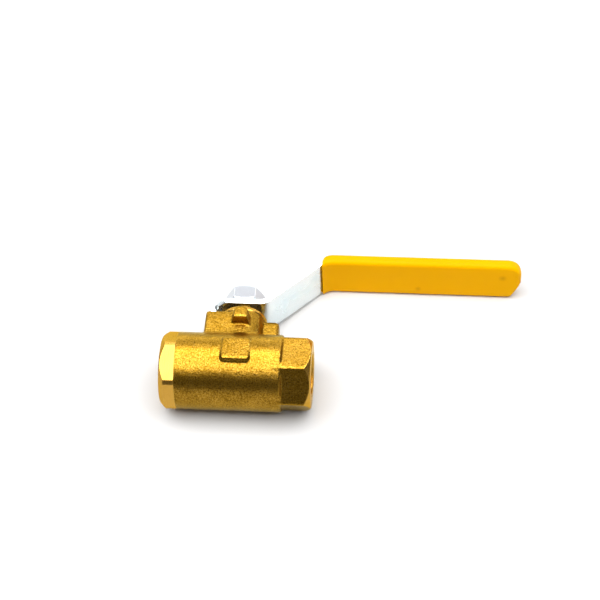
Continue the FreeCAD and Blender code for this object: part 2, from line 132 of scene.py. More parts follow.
def turned(profile, n_theta, radius, axis):
    """A closed surface of revolution whose radius may depend on the angle.
    profile is a closed list of (position, nominal radius, kind)."""
    th = np.linspace(0, 2 * math.pi, n_theta, endpoint=False)
    pos = np.array([p[0] for p in profile])
    nom = np.array([p[1] for p in profile])
    kind = [p[2] for p in profile]
    r = np.empty((n_theta, len(profile)))
    for j, k in enumerate(kind):
        r[:, j] = nom[j] if k is None else radius[k](th, pos[j], nom[j])
    P = np.empty((n_theta, len(profile), 3))
    c, s = np.cos(th)[:, None], np.sin(th)[:, None]
    if axis == "x":
        P[..., 0] = pos[None, :]
        P[..., 1] = -r * c
        P[..., 2] = -r * s
    else:
        P[..., 0] = r * c
        P[..., 1] = r * s
        P[..., 2] = pos[None, :]
    return P.reshape(-1, 3), grid_faces(n_theta, len(profile), True, True)


def hex_radius(th, af, turn):
    """Radius of a hexagon with a flat's normal at the angle 'turn'."""
    d = (th - turn + math.pi / 6) % (math.pi / 3) - math.pi / 6
    return (af / 2) / np.cos(d)


def line(a, b, n, kind=None, skip=False):
    """n steps from (pos, r) a to b."""
    t = np.linspace(0, 1, n + 1)
    if skip:
        t = t[1:]
    return [(a[0] + (b[0] - a[0]) * u, a[1] + (b[1] - a[1]) * u, kind) for u in t]


def thread_radius(th, x, minor, depth, pitch, hand=1.0):
    """Inside pipe thread: crests at the minor radius, rounded roots outside it."""
    ph = (x / pitch - hand * th / (2 * math.pi)) % 1.0
    tri = np.abs(2 * ph - 1)                      # 0 at the crest, 1 at the root
    tri = np.clip((tri - 0.14) / 0.72, 0, 1)
    tri = tri * tri * (3 - 2 * tri) * 0.35 + tri * 0.65
    return minor + depth * tri


# ------------------------------------------------------------------ materials
def mat_new(name):
    m = bpy.data.materials.new(name)
    m.use_nodes = True
    nt = m.node_tree
    for n in list(nt.nodes):
        nt.nodes.remove(n)
    out = nt.nodes.new("ShaderNodeOutputMaterial")
    b = nt.nodes.new("ShaderNodeBsdfPrincipled")
    nt.links.new(b.outputs[0], out.inputs[0])
    return m, nt, b


class Tree:
    """Short ways to add nodes."""

    def __init__(self, nt):
        self.nt = nt
        self.tc = nt.nodes.new("ShaderNodeTexCoord")

    def link(self, a, b):
        self.nt.links.new(a, b)

    def coords(self, scale=(1, 1, 1), rot=(0, 0, 0)):
        m = self.nt.nodes.new("ShaderNodeMapping")
        m.inputs["Scale"].default_value = scale
        m.inputs["Rotation"].default_value = rot
        self.link(self.tc.outputs["Object"], m.inputs["Vector"])
        return m.outputs[0]

    def noise(self, vec, scale, detail=3.0, rough=0.55, dist=0.0):
        n = self.nt.nodes.new("ShaderNodeTexNoise")
        n.inputs["Scale"].default_value = scale
        n.inputs["Detail"].default_value = detail
        n.inputs["Roughness"].default_value = rough
        n.inputs["Distortion"].default_value = dist
        self.link(vec, n.inputs["Vector"])
        return n.outputs["Fac"]

    def voronoi(self, vec, scale, feature="F1", rand=1.0):
        n = self.nt.nodes.new("ShaderNodeTexVoronoi")
        n.feature = feature
        n.inputs["Scale"].default_value = scale
        n.inputs["Randomness"].default_value = rand
        self.link(vec, n.inputs["Vector"])
        return n.outputs["Distance"]

    def ramp(self, fac, stops, interp="LINEAR"):
        n = self.nt.nodes.new("ShaderNodeValToRGB")
        n.color_ramp.interpolation = interp
        els = n.color_ramp.elements
        while len(els) < len(stops):
            els.new(0.5)
        for e, (p, c) in zip(els, stops):
            e.position = p
            e.color = (c, c, c, 1) if isinstance(c, (int, float)) else (*c, 1)
        self.link(fac, n.inputs[0])
        return n.outputs[0]

    def map(self, fac, a, b, c, d):
        n = self.nt.nodes.new("ShaderNodeMapRange")
        n.inputs[1].default_value = a
        n.inputs[2].default_value = b
        n.inputs[3].default_value = c
        n.inputs[4].default_value = d
        self.link(fac, n.inputs[0])
        return n.outputs[0]

    def math(self, op, a, b=None, clamp=False):
        n = self.nt.nodes.new("ShaderNodeMath")
        n.operation = op
        n.use_clamp = clamp
        for i, v in enumerate((a, b)):
            if v is None:
                continue
            if isinstance(v, (int, float)):
                n.inputs[i].default_value = v
            else:
                self.link(v, n.inputs[i])
        return n.outputs[0]

    def mix(self, fac, a, b, mode="MIX"):
        n = self.nt.nodes.new("ShaderNodeMix")
        n.data_type = "RGBA"
        n.blend_type = mode
        for i, v in ((0, fac), (6, a), (7, b)):
            if isinstance(v, (int, float)):
                n.inputs[i].default_value = v
            elif isinstance(v, tuple):
                n.inputs[i].default_value = (*v, 1)
            else:
                self.link(v, n.inputs[i])
        return n.outputs[2]

    def bump(self, height, strength, distance, normal=None):
        n = self.nt.nodes.new("ShaderNodeBump")
        n.inputs["Strength"].default_value = strength
        n.inputs["Distance"].default_value = distance
        self.link(height, n.inputs["Height"])
        if normal is not None:
            self.link(normal, n.inputs["Normal"])
        return n.outputs[0]

    def pointiness(self):
        n = self.nt.nodes.new("ShaderNodeNewGeometry")
        return n.outputs["Pointiness"]


def blasted_brass():
    m, nt, b = mat_new("brass_blasted")
    t = Tree(nt)
    v = t.coords()
    grain = t.noise(v, 2500, 2.0, 0.7)
    sand = t.noise(v, 1350, 2.0, 0.6)
    pits = t.voronoi(v, 1700)
    patch = t.noise(v, 230, 4.0, 0.6)
    wide = t.noise(v, 45, 3.0, 0.55)
    base = t.mix(t.ramp(wide, [(0.35, 0.0), (0.68, 1.0)]), (0.285, 0.150, 0.010), (0.335, 0.180, 0.018))
    base = t.mix(t.ramp(patch, [(0.42, 0.0), (0.70, 0.60)]), base, (0.190, 0.092, 0.002))
    base = t.mix(t.ramp(sand, [(0.54, 0.0), (0.70, 0.55)]), base, (0.120, 0.056, 0.001))
    base = t.mix(t.ramp(grain, [(0.52, 0.0), (0.62, 0.80)]), base, (0.085, 0.038, 0.001))
    base = t.mix(t.ramp(grain, [(0.34, 0.55), (0.46, 0.0)]), base, (0.480, 0.290, 0.060))
    # painted highlight and painted shade: convex edges are made lighter and hollows and creases darker from the
    # surface's pointiness
    base = t.mix(t.ramp(t.pointiness(), [(0.515, 0.0), (0.56, 0.8)]), base, (0.50, 0.34, 0.060))
    base = t.mix(t.ramp(t.pointiness(), [(0.44, 0.75), (0.49, 0.0)]), base, (0.13, 0.060, 0.002))
    t.link(base, b.inputs["Base Color"])
    b.inputs["Metallic"].default_value = 1.0
    b.inputs["Specular Tint"].default_value = (1.0, 0.92, 0.60, 1.0)
    rough = t.map(t.math("ADD", t.math("MULTIPLY", grain, 0.6), t.math("MULTIPLY", patch, 0.4)), 0.3, 0.7, 0.24, 0.36)
    t.link(rough, b.inputs["Roughness"])
    n1 = t.bump(pits, 0.35, 0.00005)
    n2 = t.bump(grain, 0.75, 0.00006, t.bump(sand, 0.55, 0.00007, n1))
    n3 = t.bump(patch, 0.25, 0.00040, n2)
    t.link(n3, b.inputs["Normal"])
    return m


def machined_brass(name, axis, colour=(0.53, 0.30, 0.055), rough=0.25):
    """Turned brass: fine rings about the flow axis (axis 'x')."""
    m, nt, b = mat_new(name)
    t = Tree(nt)
    v = t.coords()
    stretch = t.coords((5200, 130, 130)) if axis == "x" else t.coords((130, 5200, 130), (0, 0, 0))
    lines = t.noise(stretch, 1.0, 2.0, 0.5)
    patch = t.noise(v, 160, 4.0, 0.6)
    wide = t.noise(v, 60, 2.0, 0.5)
    dark = tuple(c * f for c, f in zip(colour, (0.80, 0.74, 0.62)))
    base = t.mix(t.ramp(patch, [(0.45, 0.0), (0.80, 0.6)]), colour, dark)
    base = t.mix(t.ramp(lines, [(0.50, 0.0), (0.75, 0.30)]), base, dark)
    t.link(base, b.inputs["Base Color"])
    b.inputs["Metallic"].default_value = 1.0
    b.inputs["Anisotropic"].default_value = 0.35
    b.inputs["Specular Tint"].default_value = (0.95, 0.80, 0.40, 1.0)
    t.link(t.map(t.math("ADD", t.math("MULTIPLY", lines, 0.5), t.math("MULTIPLY", wide, 0.5)), 0.35, 0.65, rough - 0.05, rough + 0.09), b.inputs["Roughness"])
    t.link(t.bump(lines, 0.22, 0.00003, t.bump(patch, 0.10, 0.00010)), b.inputs["Normal"])
    return m


def zinc(name, rough=0.24, colour=(0.76, 0.80, 0.80), bump=0.12, tinted=1.0):
    m, nt, b = mat_new(name)
    t = Tree(nt)
    v = t.coords()
    cloud = t.noise(v, 85, 2.0, 0.5, 0.3)
    fine = t.noise(v, 2600, 2.0, 0.5)
    roll = t.noise(t.coords((60, 2400, 2400)), 1.0, 2.0, 0.5)
    tint = t.mix(t.ramp(cloud, [(0.35, 0.0), (0.70, tinted)]), colour, (0.66, 0.76, 0.79))
    tint = t.mix(t.ramp(t.noise(v, 75, 2.0, 0.5), [(0.55, 0.0), (0.78, 0.45)]), tint, (0.86, 0.86, 0.78))
    t.link(tint, b.inputs["Base Color"])
    b.inputs["Metallic"].default_value = 1.0
    t.link(t.map(cloud, 0.3, 0.7, rough * 0.8, rough * 1.3), b.inputs["Roughness"])
    t.link(t.bump(fine, bump, 0.00003, t.bump(roll, bump * 0.6, 0.00004)), b.inputs["Normal"])
    return m


def vinyl():
    m, nt, b = mat_new("yellow_vinyl")
    t = Tree(nt)
    v = t.coords()
    wide = t.noise(v, 55, 3.0, 0.5)
    fine = t.noise(v, 1500, 2.0, 0.5)
    base = t.mix(t.ramp(wide, [(0.30, 0.0), (0.75, 1.0)]), (0.83, 0.395, 0.0), (0.87, 0.42, 0.0))
    scuff = t.ramp(t.noise(t.coords((150, 700, 700)), 1.0, 4.0, 0.65), [(0.63, 0.0), (0.80, 0.35)])
    base = t.mix(scuff, base, (0.70, 0.30, 0.0))
    # two small handling marks on the side away from the nut
    for mark, size in (((79.4, -2.1, Z_BAR - 0.95), 1.5), ((53.2, 4.0, Z_BAR - 0.95), 1.2)):
        far = nt.nodes.new("ShaderNodeVectorMath")
        far.operation = "DISTANCE"
        t.link(t.tc.outputs["Object"], far.inputs[0])
        far.inputs[1].default_value = [float(c) for c in to_row(np.array([mark]))[0]]
        near = t.map(far.outputs["Value"], 0.0, size * 0.001, 0.5, 0.0)
        base = t.mix(near, base, (0.46, 0.18, 0.0))
    t.link(base, b.inputs["Base Color"])
    b.inputs["IOR"].default_value = 1.5
    b.inputs["Specular IOR Level"].default_value = 0.03
    b.inputs["Specular Tint"].default_value = (1.0, 0.80, 0.30, 1.0)
    b.inputs["Coat Weight"].default_value = 0.01
    b.inputs["Coat Roughness"].default_value = 0.12
    b.inputs["Subsurface Weight"].default_value = 0.12
    b.inputs["Subsurface Radius"].default_value = (1.0, 0.55, 0.08)
    b.inputs["Subsurface Scale"].default_value = 0.0012
    t.link(t.map(wide, 0.3, 0.7, 0.26, 0.36), b.inputs["Roughness"])
    t.link(t.bump(fine, 0.06, 0.00004, t.bump(wide, 0.10, 0.0006)), b.inputs["Normal"])
    return m


def plain(name, colour, rough, metallic=0.0, scale=900, bump=0.15, spread=0.06):
    """Hidden and half-hidden small pieces: gentle colour and roughness variation."""
    m, nt, b = mat_new(name)
    t = Tree(nt)
    v = t.coords()
    n1 = t.noise(v, scale, 3.0, 0.6)
    n2 = t.noise(v, scale * 0.12, 3.0, 0.6)
    dark = tuple(c * 0.78 for c in colour)
    t.link(t.mix(t.ramp(n2, [(0.4, 0.0), (0.75, 0.8)]), colour, dark), b.inputs["Base Color"])
    b.inputs["Metallic"].default_value = metallic
    t.link(t.map(n1, 0.3, 0.7, rough - spread, rough + spread), b.inputs["Roughness"])
    t.link(t.bump(n1, bump, 0.00005), b.inputs["Normal"])
    return m


M_BODY = blasted_brass()
M_CAP = machined_brass("brass_machined", "x")
M_STEM = machined_brass("brass_stem", "y", (0.50, 0.31, 0.05), 0.26)
M_ZINC = zinc("zinc_sheet")
M_HARD = zinc("zinc_hardware", 0.12, (0.57, 0.58, 0.62), 0.03, 0.25)
M_VINYL = vinyl()
M_PTFE = plain("ptfe", (0.86, 0.86, 0.83), 0.42)
M_NBR = plain("nitrile", (0.018, 0.018, 0.018), 0.48)
M_FIBRE = plain("fibre", (0.12, 0.22, 0.14), 0.75, scale=1500, bump=0.5)
M_CHROME = plain("chrome", (0.80, 0.81, 0.83), 0.10, 1.0, scale=500, bump=0.04, spread=0.03)

CARRIED = {
    "end_cap_seal": M_FIBRE, "ball": M_CHROME, "inlet_seat": M_PTFE, "outlet_seat": M_PTFE,
    "inlet_seat_ring": M_NBR, "outlet_seat_ring": M_NBR, "stem": M_STEM, "stem_thrust_washer": M_PTFE,
    "stem_o_ring_lower": M_NBR, "stem_o_ring_upper": M_NBR, "stem_packing": M_PTFE, "gland_nut": M_STEM,
    "valve_body": M_BODY, "end_cap": M_CAP, "handle_lever": M_ZINC, "grip_sleeve": M_VINYL,
    "spring_washer": M_HARD, "handle_nut": M_HARD,
}
for name, mat in CARRIED.items():
    o = nodes[name]
    o.data.materials.clear()
    o.data.materials.append(mat)

# ------------------------------------------------------------------ valve body, softened like a forging
src = nodes["valve_body"]
me = src.data.copy()
co = np.empty(len(me.vertices) * 3)
me.vertices.foreach_get("co", co)
p = from_row(co)
r = np.hypot(p[:, 1], p[:, 2])
inside = (np.abs(r - R_MINOR) < 0.06) & (p[:, 0] > 11.0)
scale = np.where(inside, (R_MINOR + DEPTH - 0.05) / np.maximum(r, 1e-6), 1.0)
p[:, 1] *= scale
p[:, 2] *= scale
mouth = (np.abs(r - (R_MINOR + 0.8)) < 0.06) & (p[:, 0] > 22.4)
scale = np.where(mouth, (R_MINOR + DEPTH + 0.25) / np.maximum(r, 1e-6), 1.0)
p[:, 1] *= scale
p[:, 2] *= scale
me.vertices.foreach_set("co", to_row(p).ravel())
me.update()
tmp = bpy.data.objects.new("tmp_body", me)
bpy.context.scene.collection.objects.link(tmp)
weld = tmp.modifiers.new("weld", "WELD")
weld.merge_threshold = 1e-6
rm = tmp.modifiers.new("remesh", "REMESH")
rm.mode = "VOXEL"
rm.voxel_size = 0.00017
dg = bpy.context.evaluated_depsgraph_get()
me2 = bpy.data.meshes.new_from_object(tmp.evaluated_get(dg))
bpy.data.objects.remove(tmp)
n = len(me2.vertices)
co = np.empty(n * 3)
me2.vertices.foreach_get("co", co)
P = from_row(co)
ne = len(me2.edges)
ed = np.empty(ne * 2, np.int64)
me2.edges.foreach_get("vertices", ed)
ed = ed.reshape(-1, 2)
deg = np.bincount(ed.ravel(), minlength=n).astype(float)


def lap(A):
    out = np.empty_like(A)
    for k in range(3):
        out[:, k] = (np.bincount(ed[:, 0], weights=A[ed[:, 1], k], minlength=n)
                     + np.bincount(ed[:, 1], weights=A[ed[:, 0], k], minlength=n)) / deg
    return out


rad = np.hypot(P[:, 1], P[:, 2])
# machined faces keep their edges: the joint with the cap, the outlet end, the bores and the neck's rim
cast = np.ones(n)
cast *= np.clip((P[:, 0] - X_CAP - 0.2) / 0.8, 0.0, 1)
cast *= np.clip((rad - 9.9) / 0.25, 0, 1) + (P[:, 2] > 9.0) * (rad <= 9.9)
cone = (X_OUT - P[:, 0]) + END_FACE_R
cast *= np.clip((cone - rad) / 0.3, 0, 1)
rz = np.hypot(P[:, 0], P[:, 1])
cast *= 1.0 - ((P[:, 2] > Z_NECK - 1.7) & (rz < R_NECK + 0.3))
cast = np.clip(cast, 0.0, 1.0)
steps = 22
for i in range(steps):
    w = 0.5 * np.clip(cast + (0.5 if i < 3 else 0.0), 0, 1)[:, None]
    P = P + w * (lap(P) - P)
# the top of the neck is turned true, with a fine tool mark under it
rz = np.hypot(P[:, 0], P[:, 1])
true = (P[:, 2] > Z_NECK - 2.05) & (P[:, 2] < Z_NECK - 0.42) & (np.abs(rz - R_NECK) < 0.25)
groove = np.clip(1 - np.abs(P[:, 2] - (Z_NECK - 1.6)) / 0.26, 0, 1)
k_r = np.where(true, (R_NECK - 0.17 * groove) / np.maximum(rz, 1e-6), 1.0)
P[:, 0] *= k_r
P[:, 1] *= k_r
# a forging is never quite flat: long, very shallow waves
rng = np.random.default_rng(7)
wave = np.zeros(n)
for k in range(9):
    d = rng.normal(size=3)
    d /= np.linalg.norm(d)
    wave += math.sin(k) * np.sin(P @ d * rng.uniform(0.25, 0.8) + rng.uniform(0, 6.3))
me2.vertices.foreach_set("co", to_row(P).ravel())
me2.update()
nrm = np.empty(n * 3)
me2.vertices.foreach_get("normal", nrm)
nrm = nrm.reshape(-1, 3)
nn = nrm @ TO_ROW
P = P + nn * (0.012 * wave * cast * (rad < 40))[:, None]
me2.vertices.foreach_set("co", to_row(P).ravel())
me2.update()
me2.polygons.foreach_set("use_smooth", [True] * len(me2.polygons))
body = bpy.data.objects.new("body_forging", me2)
bpy.context.scene.collection.objects.link(body)
body.data.materials.clear()
body.data.materials.append(M_BODY)
body.data.materials.append(M_CAP)
# the turned places: outlet end, chamfer, bores, neck rim
pc = np.empty(len(me2.polygons) * 3)
me2.polygons.foreach_get("center", pc)
C = from_row(pc)
cr = np.hypot(C[:, 1], C[:, 2])
cz = np.hypot(C[:, 0], C[:, 1])
m_idx = np.zeros(len(C), np.int32)
m_idx[(C[:, 0] > 12.0) & (cr > (X_OUT - C[:, 0]) + END_FACE_R - 0.10)] = 1
m_idx[(C[:, 0] > X_OUT - 0.12)] = 1
m_idx[(cr < 9.75) & (C[:, 2] < 9.6)] = 1
m_idx[(C[:, 0] < X_CAP + 0.10)] = 1
m_idx[(C[:, 2] > Z_NECK - 1.5) & (cz < R_NECK + 0.2)] = 1
m_idx[(C[:, 2] > 9) & (cz < 5.3)] = 1
me2.polygons.foreach_set("material_index", m_idx)
me2.update()
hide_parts("valve_body")
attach(body, "body")

# the outlet's inside thread
NT = 240
radius = {
    "thread": lambda th, x, nom: thread_radius(th, x, R_MINOR, DEPTH, PITCH),
    "run": lambda th, x, nom: nom * np.ones_like(th),
}


def thread_sleeve(name, x0, x1, body_name, mat):
    """Ring that carries the inside thread, let into the wall."""
    steps = int(abs(x1 - x0) / 0.075)
    prof = line((x0, R_MINOR), (x1, R_MINOR), steps, "thread")
    prof += [(x1, R_MINOR + DEPTH + 0.12, None), (x0, R_MINOR + DEPTH + 0.12, None)]
    v, f = turned(prof, NT, radius, "x")
    return make_object(name, v, f, body_name, mat)


thread_sleeve("outlet_thread_turns", X_OUT - 10.2, X_OUT - 0.12, "body", M_CAP)

# ------------------------------------------------------------------ end cap
CAP_TURN = math.radians(28.0)


def cap_outer(th, x, nom):
    h = hex_radius(th, 21.0, CAP_TURN)
    o = smin(h, R_CAP * np.ones_like(th), 0.12)
    cone = CAP_FACE_R + (x - X_IN)
    o = smin(o, cone * np.ones_like(th), 0.12)
    back = R_CAP + 0.25 - 0.35 + (X_CAP - x)
    return smin(o, back * np.ones_like(th), 0.10)


radius["cap"] = cap_outer
prof = []
prof += line((-7.65, 4.82), (-9.2, 4.82), 1)
prof += [(-9.2, 4.25, None), (-12.3, 4.25, None), (-12.3, R_MINOR + 0.3, None)]
prof += line((-12.35, R_MINOR), (X_IN + 0.12, R_MINOR), 135, "thread")
prof += [(X_IN + 0.03, R_MINOR + DEPTH + 0.12, None), (X_IN, R_MINOR + DEPTH + 0.2, None)]
prof += line((X_IN, 6.9), (X_IN, CAP_FACE_R - 0.12), 6)
prof += line((X_IN + 0.01, 9.6), (X_CAP, 9.6), 74, "cap")
prof += [(X_CAP, 9.45, None), (-10.6, 9.45, None), (-10.6, 8.05, None), (-7.65, 8.05, None)]
v, f = turned(prof, 600, radius, "x")
cap = make_object("end_cap_turned", v, f, "body", M_CAP)
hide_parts("end_cap")

# ------------------------------------------------------------------ handle nut, washer and stem end


def nut_outer(th, z, nom):
    h = hex_radius(th, NUT_AF, -math.pi / 2)
    r_face = NUT_AF / 2 - 0.12
    top = r_face + (Z_NUT + NUT_H - z) * 1.75
    low = r_face + (z - Z_NUT) * 1.75
    o = smin(h, (NUT_AF / math.sqrt(3) - 0.12) * np.ones_like(th), 0.10)
    o = smin(o, top * np.ones_like(th), 0.12)
    return smin(o, low * np.ones_like(th), 0.12)


def nut_thread(th, z, nom):
    return thread_radius(th, z, 2.62, 0.55, 1.27)


def stem_thread(th, z, nom):
    ph = (z / 1.27 - th / (2 * math.pi)) % 1.0
    tri = np.clip((np.abs(2 * ph - 1) - 0.12) / 0.76, 0, 1)
    rr = 3.17 - 0.52 * tri
    rr = smin(rr, (3.17 - 0.6 + (30.6 - z)) * np.ones_like(th), 0.1)
    flat = 2.35 / np.maximum(np.abs(np.sin(th)), 1e-3)
    return smin(rr, flat, 0.08)


radius.update({"nut": nut_outer, "nut_in": nut_thread, "stem": stem_thread})
prof = line((Z_NUT, 5.3), (Z_NUT + NUT_H, 5.3), 64, "nut")
prof += [(Z_NUT + NUT_H, 4.6, None), (Z_NUT + NUT_H, 3.45, None)]
prof += line((Z_NUT + NUT_H - 0.25, 3.2), (Z_NUT + 0.25, 3.2), 40, "nut_in")
prof += [(Z_NUT, 3.45, None), (Z_NUT, 4.6, None)]
v, f = turned(prof, 480, radius, "z")
nut = make_object("handle_nut_hex", v, f, "handle", M_HARD)
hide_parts("handle_nut")

# stem: smooth shank with its grooves, threaded end with two flats
prof = [(7.8, 0.02, None), (7.8, 3.8, None), (8.2, 4.2, None), (9.3, 4.2, None), (9.3, 3.5, None), (10.25, 3.5, None),
        (10.25, 2.6, None), (11.25, 2.6, None), (11.25, 3.5, None), (11.75, 3.5, None), (11.75, 2.6, None),
        (12.75, 2.6, None), (12.75, 3.5, None), (21.6, 3.5, None), (21.93, 3.3, None)]
prof += line((21.95, 3.1), (30.58, 3.1), 110, "stem")
prof += [(30.6, 2.0, None), (30.6, 0.02, None)]
v, f = turned(prof, 144, radius, "z")
make_object("stem_threaded", v, f, "handle", M_STEM)
# drive blade in the ball's slot
bl = np.array([[x, y, z] for x in (-1.25, 1.25) for y in (-3.1, 3.1) for z in (5.62, 8.0)])
bf = [(0, 1, 3, 2), (4, 6, 7, 5), (0, 4, 5, 1), (2, 3, 7, 6), (0, 2, 6, 4), (1, 5, 7, 3)]
blade = make_object("stem_blade", bl, bf, "handle", M_STEM, smooth=False)
bev = blade.modifiers.new("bevel", "BEVEL")
bev.width = 0.00025
bev.segments = 3
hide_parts("stem")

# spring washer: one flat turn of square wire, its cut ends a little apart
turns = np.linspace(math.radians(8), math.radians(352), 121)
ring = []
z0 = Z_SHOULDER + LEVER_T
for k, a in enumerate(turns):
    lift = 0.0
    for (rr, zz) in ((3.32, 0.06), (3.32, 0.84), (3.40, 0.90), (4.82, 0.90), (4.90, 0.84), (4.90, 0.06), (4.82, 0.0), (3.40, 0.0)):
        skew = 0.10 * (zz / 0.9)
        ring.append((rr * math.cos(a + skew * (0.0)), rr * math.sin(a), z0 + zz + lift))
f = grid_faces(len(turns), 8, False, True)
f.append(tuple(range(8)))
f.append(tuple(reversed(range((len(turns) - 1) * 8, len(turns) * 8))))
w = make_object("spring_washer_ring", np.array(ring), f, "handle", M_HARD, smooth=False)
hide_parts("spring_washer")


# ------------------------------------------------------------------ lever and sleeve
def path(points, radii, step):
    """Points and unit tangents along a polyline in the XZ plane, its corners rounded."""
    pts = [np.array(q, float) for q in points]
    out = []

    def run(a, b):
        L = np.linalg.norm(b - a)
        m = max(int(L / step), 1)
        for i in range(m):
            out.append((a + (b - a) * i / m, (b - a) / L))
    cur = pts[0]
    for i in range(1, len(pts) - 1):
        d0 = pts[i] - pts[i - 1]
        d0 /= np.linalg.norm(d0)
        d1 = pts[i + 1] - pts[i]
        d1 /= np.linalg.norm(d1)
        turn = math.acos(max(-1, min(1, float(d0 @ d1))))
        sgn = 1.0 if d0[0] * d1[1] - d0[1] * d1[0] > 0 else -1.0
        R = radii[i - 1]
        T = R * math.tan(turn / 2)
        a = pts[i] - d0 * T
        run(cur, a)
        m = max(int(R * turn / (step * 0.35)), 8)
        nrm = np.array([-d0[1], d0[0]]) * sgn
        c = a + nrm * R
        for k in range(m):
            ang = turn * k / m * sgn
            ca, sa = math.cos(ang), math.sin(ang)
            rel = a - c
            q = c + np.array([rel[0] * ca - rel[1] * sa, rel[0] * sa + rel[1] * ca])
            tg = np.array([d0[0] * ca - d0[1] * sa, d0[0] * sa + d0[1] * ca])
            out.append((q, tg))
        cur = pts[i] + d1 * T
    run(cur, pts[-1])
    d = pts[-1] - pts[-2]
    out.append((pts[-1], d / np.linalg.norm(d)))
    return out


def section(hw, ht, rc, n_c=5, n_w=8):
    """Rounded rectangle, half width hw across, half height ht, corner radius rc."""
    pts = []
    rc = min(rc, hw * 0.98, ht * 0.98)
    corners = [(hw - rc, ht - rc, 0), (-(hw - rc), ht - rc, 90), (-(hw - rc), -(ht - rc), 180), (hw - rc, -(ht - rc), 270)]
    for i, (cx, cy, a0) in enumerate(corners):
        for k in range(n_c + 1):
            a = math.radians(a0 + 90 * k / n_c)
            pts.append((cx + rc * math.cos(a), cy + rc * math.sin(a)))
        nx, ny, _ = corners[(i + 1) % 4]
        a = math.radians(a0 + 90)
        s = (cx + rc * math.cos(a), cy + rc * math.sin(a))
        e = (nx + rc * math.cos(a), ny + rc * math.sin(a))
        m = n_w if i % 2 == 0 else 2
        for k in range(1, m):
            pts.append((s[0] + (e[0] - s[0]) * k / m, s[1] + (e[1] - s[1]) * k / m))
    return pts


def sweep(name, stations, body_name, mat):
    """stations: (point xz, tangent xz, half width, half thickness, corner radius)."""
    verts, m = [], None
    for q, tg, hw, ht, rc, *yc in stations:
        sec = section(hw, ht, rc)
        yc = yc[0] if yc else 0.0
        m = len(sec)
        nx, nz = -tg[1], tg[0]
        for (sy, sn) in sec:
            verts.append((q[0] + nx * sn, yc + sy, q[1] + nz * sn))
    f = grid_faces(len(stations), m, False, True)
    f.append(tuple(range(m)))
    f.append(tuple(reversed(range((len(stations) - 1) * m, len(stations) * m))))
    return make_object(name, np.array(verts), f, body_name, mat)


half = LEVER_T / 2
HALF_W = 6.4
zm = Z_SHOULDER + half
th2 = math.tan(ANG / 2) * half
pts = [(X_PLATE + half, 15.9), (X_PLATE + half, zm), (X_BEND1 - th2, zm), (X_BEND2 - th2, Z_BAR + half), (X_TIP, Z_BAR + half)]
raw = path(pts, [1.45, 3.5, 6.0], 0.35)
bar_line = [(q, tg) for q, tg in raw if q[0] > 12.0]


def lever_half(q, tg):
    """The hub narrows to the stop tab."""
    reach = q[0] - half * 0.4 if tg[1] < 0.05 else X_PLATE
    t = (reach - X_PLATE) / (-5.7 - X_PLATE)
    taper = 2.3 + (HALF_W - 2.3) * max(t, 0.0)
    if q[0] > 0:
        return HALF_W
    if tg[1] >= 0.05:
        taper = 2.3 + (q[0] - (X_PLATE + half)) * 0.75
    return float(smin(np.array(taper), np.array(HALF_W), 0.9))


stations = []
q0, t0 = raw[0]
for s, hw, ht in ((0.0, 2.1, 0.80), (0.06, 2.22, 0.93), (0.20, 2.3, 1.0)):
    stations.append((q0 + t0 * s, t0, hw, ht, 0.12))
TIP_R1, TIP_DX, TIP_Y = 4.6, 3.1, 1.0


def pad_reach(d, w, rad):
    """Half width on the pad side at a distance d from the rounded end."""
    return w - rad + math.sqrt(max(rad * rad - max(rad - d, 0.0) ** 2, 0.0))


def slant_reach(d, w, y_end):
    """Half width on the table side, where the end is cut off at a slant."""
    t = y_end + (w - y_end) * (d + 0.05) / TIP_DX
    return float(smin(np.array(t), np.array(w), 0.9))


for q, tg in raw[1:]:
    if q[0] < X_TIP - 8.0:
        stations.append((q, tg, lever_half(q, tg), half, 0.16))
q_end, t_end = raw[-1]
for k in range(17):
    d = 7.0 * (1 - math.sin(math.pi / 2 * k / 16))
    y0, y1 = -pad_reach(d, HALF_W, TIP_R1 - 0.9), slant_reach(d, HALF_W, TIP_Y - 0.2)
    stations.append((np.array([X_TIP - d, q_end[1]]), t_end, (y1 - y0) / 2, half, 0.16, (y0 + y1) / 2))
lever = sweep("lever_pressing", stations, "handle", M_ZINC)
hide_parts("handle_lever")

GW, GT, X_SLEEVE = 7.1, 1.95, 23.2
lx = np.array([q[0] for q, tg in bar_line])
lz = np.array([q[1] for q, tg in bar_line])
la = np.array([math.atan2(tg[1], tg[0]) for q, tg in bar_line])


def upright_section(x, hw, ht, rc, yc=0.0):
    """Section of the sleeve in a plane square to the grip."""
    a = float(np.interp(x, lx, la))
    return (np.array([x, float(np.interp(x, lx, lz))]), np.array([1.0, 0.0]), hw, ht / math.cos(a), rc, yc)


stations = []
# the lip: from inside, round the open end, to the outside
for dx, hw, ht, rc in ((1.6, 6.44, 1.06, 0.3), (0.60, 6.46, 1.10, 0.35), (0.28, 6.52, 1.20, 0.45), (0.08, 6.62, 1.36, 0.60),
                       (0.0, 6.76, 1.54, 0.8), (0.06, 6.92, 1.72, 0.95), (0.24, 7.04, 1.87, 1.05), (0.55, 7.10, 1.95, 1.15)):
    stations.append(upright_section(X_SLEEVE + dx, hw, ht, rc))
x = X_SLEEVE + 0.95
while x < X_GRIP_END - 7.3:
    stations.append(upright_section(x, GW, GT, 1.25))
    x += 0.35 if x < 34 else 1.2


for k in range(27):
    d = 7.0 * (1 - math.sin(math.pi / 2 * k / 26))
    y0, y1 = -pad_reach(d, GW, TIP_R1), slant_reach(d, GW, TIP_Y)
    e2 = max(0.0, 1 - d / 1.7)
    ht = GT * (0.22 + 0.78 * math.sqrt(max(1 - e2 * e2, 0.0)))
    stations.append(upright_section(X_GRIP_END - d, (y1 - y0) / 2, ht, min(1.25, ht * 0.95), (y0 + y1) / 2))
sleeve = sweep("grip_vinyl", stations, "handle", M_VINYL)
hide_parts("grip_sleeve")
